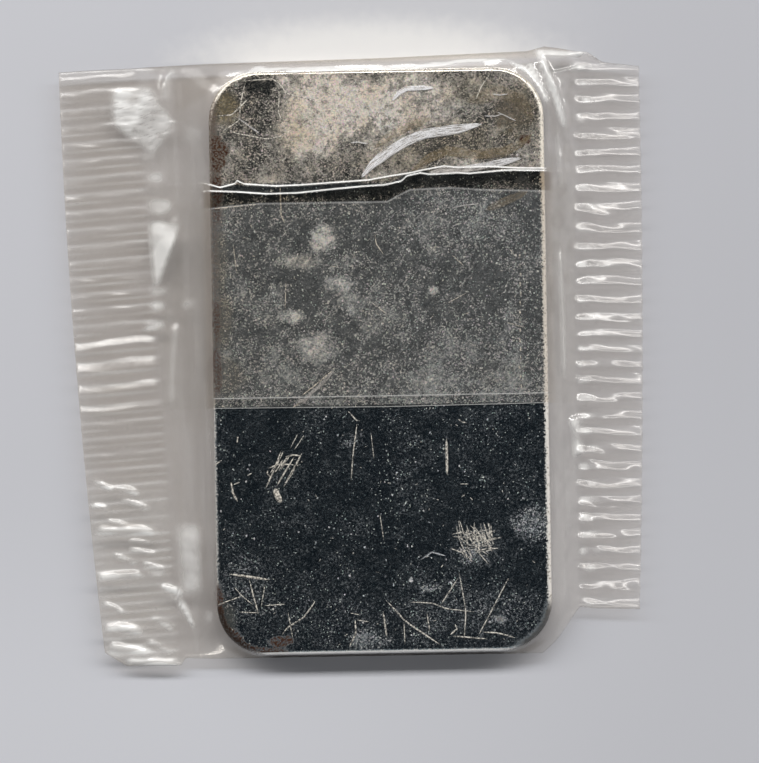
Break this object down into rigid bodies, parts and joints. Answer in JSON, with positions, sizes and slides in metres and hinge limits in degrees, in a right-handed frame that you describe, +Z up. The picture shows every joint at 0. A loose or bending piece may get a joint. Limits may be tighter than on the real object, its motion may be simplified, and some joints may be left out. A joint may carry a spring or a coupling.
{
  "type": "silver bar",
  "caption": "Plain rounded rectangular silver bar sealed in a clear plastic wrap with two ribbed crimped ends and a long fin seal folded flat.",
  "frame": {"origin": "middle of the bar in plan, on the plane that the packet rests on", "axes": "+Z up out of the seen face with the fin, +Y along the bar's long side, +X across the bar towards the squarer crimp"},
  "size_m": [0.0492, 0.0512, 0.0025],
  "materials": {
    "silver": "polished silver, dulled by haze, speckled tarnish and fine scratches",
    "clear_film": "thin clear glossy film, creased and wrinkled"
  },
  "bodies": {
    "root": {"silver_bar": "silver", "film_wrap": "clear_film"}
  },
  "joints": []
}
